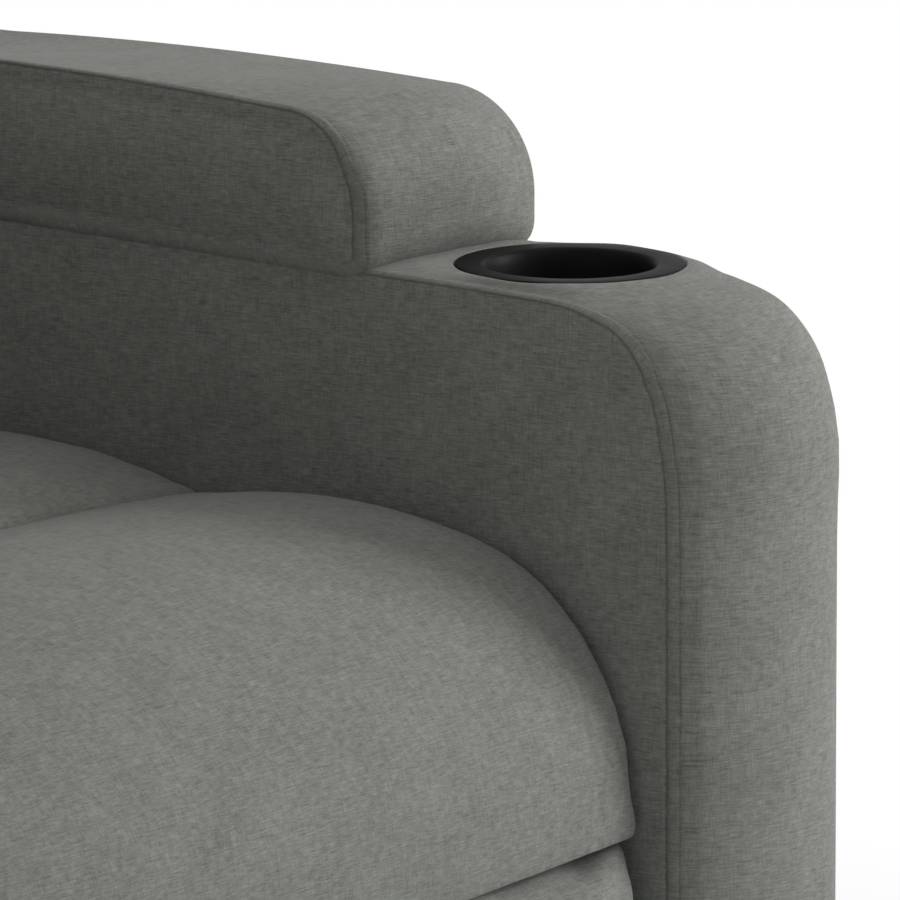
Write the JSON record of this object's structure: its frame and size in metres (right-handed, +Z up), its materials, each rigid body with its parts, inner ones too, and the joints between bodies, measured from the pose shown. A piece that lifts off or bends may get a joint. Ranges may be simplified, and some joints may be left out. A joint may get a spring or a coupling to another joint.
{
  "type": "lift recliner chair",
  "caption": "Upholstered power lift recliner with fold-out footrest, tilting backrest, rising base and a cup holder in each arm.",
  "frame": {"origin": "floor level, under the middle of the chair's overall box", "axes": "+Z up, -Y the way the sitter faces, +X the sitter's left"},
  "size_m": [0.843, 0.9366, 1.0447],
  "materials": {
    "fabric": "heathered grey weave",
    "plywood": "plain plywood",
    "timber": "planed softwood",
    "webbing": "woven elastic",
    "spring_steel": "dark spring wire",
    "bright_steel": "zinc plated",
    "black_steel": "black powder coat",
    "motor_grey": "matte",
    "black_plastic": "satin",
    "button_plastic": "satin",
    "glide_plastic": "matte"
  },
  "bodies": {
    "base": {"base_side_rails": "black_steel", "base_cross_bars": "black_steel", "base_glides": "glide_plastic", "lift_shaft": "black_steel", "lift_motor_pin": "bright_steel", "power_supply": "black_plastic"},
    "chassis": {"side_plate_left": "black_steel", "side_plate_right": "black_steel", "front_cross_tube": "black_steel", "rear_cross_tube": "black_steel", "lift_eye_pin": "bright_steel", "recline_motor_pin": "bright_steel", "arm_bolts": "bright_steel", "arm_spacers": "bright_steel", "arm_frame_left": "plywood", "arm_frame_right": "plywood", "arm_cover_left": "fabric", "arm_cover_right": "fabric", "arm_pad_left": "fabric", "arm_pad_right": "fabric", "cup_holder_left": "black_plastic", "cup_holder_right": "black_plastic", "control_plate": "black_plastic", "seat_cross_rails": "timber", "seat_side_rails": "timber", "seat_springs": "spring_steel", "seat_cushion": "fabric", "rear_skirt": "fabric"},
    "lift_motor_body": {"lift_motor": "motor_grey"},
    "lift_rod_body": {"lift_rod": "bright_steel"},
    "recline_motor_body": {"recline_motor": "motor_grey"},
    "recline_rod_body": {"recline_rod": "bright_steel"},
    "backrest": {"back_side_rails": "timber", "back_cross_bars": "timber", "back_brackets": "black_steel", "back_hinge_pins": "bright_steel", "back_straps": "webbing", "back_cover": "fabric", "recline_eye_pin": "bright_steel", "lumbar_cushion": "fabric", "shoulder_cushion": "fabric", "head_cushion": "fabric"},
    "rear_links": {"torque_tube": "black_steel", "rear_link_left": "black_steel", "rear_link_right": "black_steel", "rear_link_rivets": "bright_steel"},
    "slot_links": {"slot_link_left": "black_steel", "slot_link_right": "black_steel", "slot_link_rivets": "bright_steel"},
    "short_links": {"short_link_left": "black_steel", "short_link_right": "black_steel", "short_link_rivets": "bright_steel"},
    "footrest_panel": {"panel_link_left": "black_steel", "panel_link_right": "black_steel", "footrest_board": "plywood", "footrest_pad": "fabric"},
    "up_button": {"button_up": "button_plastic"},
    "down_button": {"button_down": "button_plastic"}
  },
  "joints": [
    {"name": "lift", "type": "hinge", "parent": "base", "child": "chassis", "pos_m": [0, -0.385, 0.055], "axis": [1, 0, 0], "range_deg": [0, 27]},
    {"name": "lift_motor_swing", "type": "hinge", "parent": "base", "child": "lift_motor_body", "pos_m": [0.062, 0.16, 0.062], "axis": [1, 0, 0], "range_deg": [0, 1.45]},
    {"name": "lift_rod_slide", "type": "slide", "parent": "lift_motor_body", "child": "lift_rod_body", "axis": [0, -0.9245, 0.3812], "range_m": [0, 0.10149]},
    {"name": "recline", "type": "hinge", "parent": "chassis", "child": "backrest", "pos_m": [0, 0.25, 0.3], "axis": [-1, 0, 0], "range_deg": [0, 38]},
    {"name": "recline_motor_swing", "type": "hinge", "parent": "chassis", "child": "recline_motor_body", "pos_m": [-0.062, -0.195, 0.226], "axis": [1, 0, 0], "range_deg": [-0.588, 0]},
    {"name": "recline_rod_slide", "type": "slide", "parent": "recline_motor_body", "child": "recline_rod_body", "axis": [0, 1, -0.0042], "range_m": [-0.05342, 0]},
    {"name": "footrest", "type": "hinge", "parent": "chassis", "child": "rear_links", "pos_m": [0, -0.328, 0.272], "axis": [-1, 0, 0], "range_deg": [0, 97]},
    {"name": "slot_link_cross", "type": "hinge", "parent": "rear_links", "child": "slot_links", "pos_m": [0, -0.328, 0.172], "axis": [-1, 0, 0], "range_deg": [-157, 0]},
    {"name": "short_link_foot", "type": "hinge", "parent": "rear_links", "child": "short_links", "pos_m": [0, -0.328, 0.072], "axis": [-1, 0, 0], "range_deg": [-157, 0]},
    {"name": "panel_hinge", "type": "hinge", "parent": "slot_links", "child": "footrest_panel", "pos_m": [0, -0.34879, 0.26982], "axis": [-1, 0, 0], "range_deg": [0, 157]},
    {"name": "up_press", "type": "slide", "parent": "chassis", "child": "up_button", "axis": [1, 0, 0], "range_m": [0, 0.0025], "stiffness_N_per_m": 400, "springref_m": -0.0015},
    {"name": "down_press", "type": "slide", "parent": "chassis", "child": "down_button", "axis": [1, 0, 0], "range_m": [0, 0.0025], "stiffness_N_per_m": 400, "springref_m": -0.0015}
  ],
  "couplings": [
    {"joint": "lift_motor_swing", "follows": "lift", "ratio": 0.052117},
    {"joint": "lift_rod_slide", "follows": "lift", "m_per_rad": 0.21115},
    {"joint": "recline_motor_swing", "follows": "recline", "ratio": -0.015027},
    {"joint": "recline_rod_slide", "follows": "recline", "m_per_rad": -0.078961},
    {"joint": "slot_link_cross", "follows": "footrest", "ratio": -1.6082},
    {"joint": "short_link_foot", "follows": "footrest", "ratio": -1.6082},
    {"joint": "panel_hinge", "follows": "footrest", "ratio": 1.6082}
  ]
}
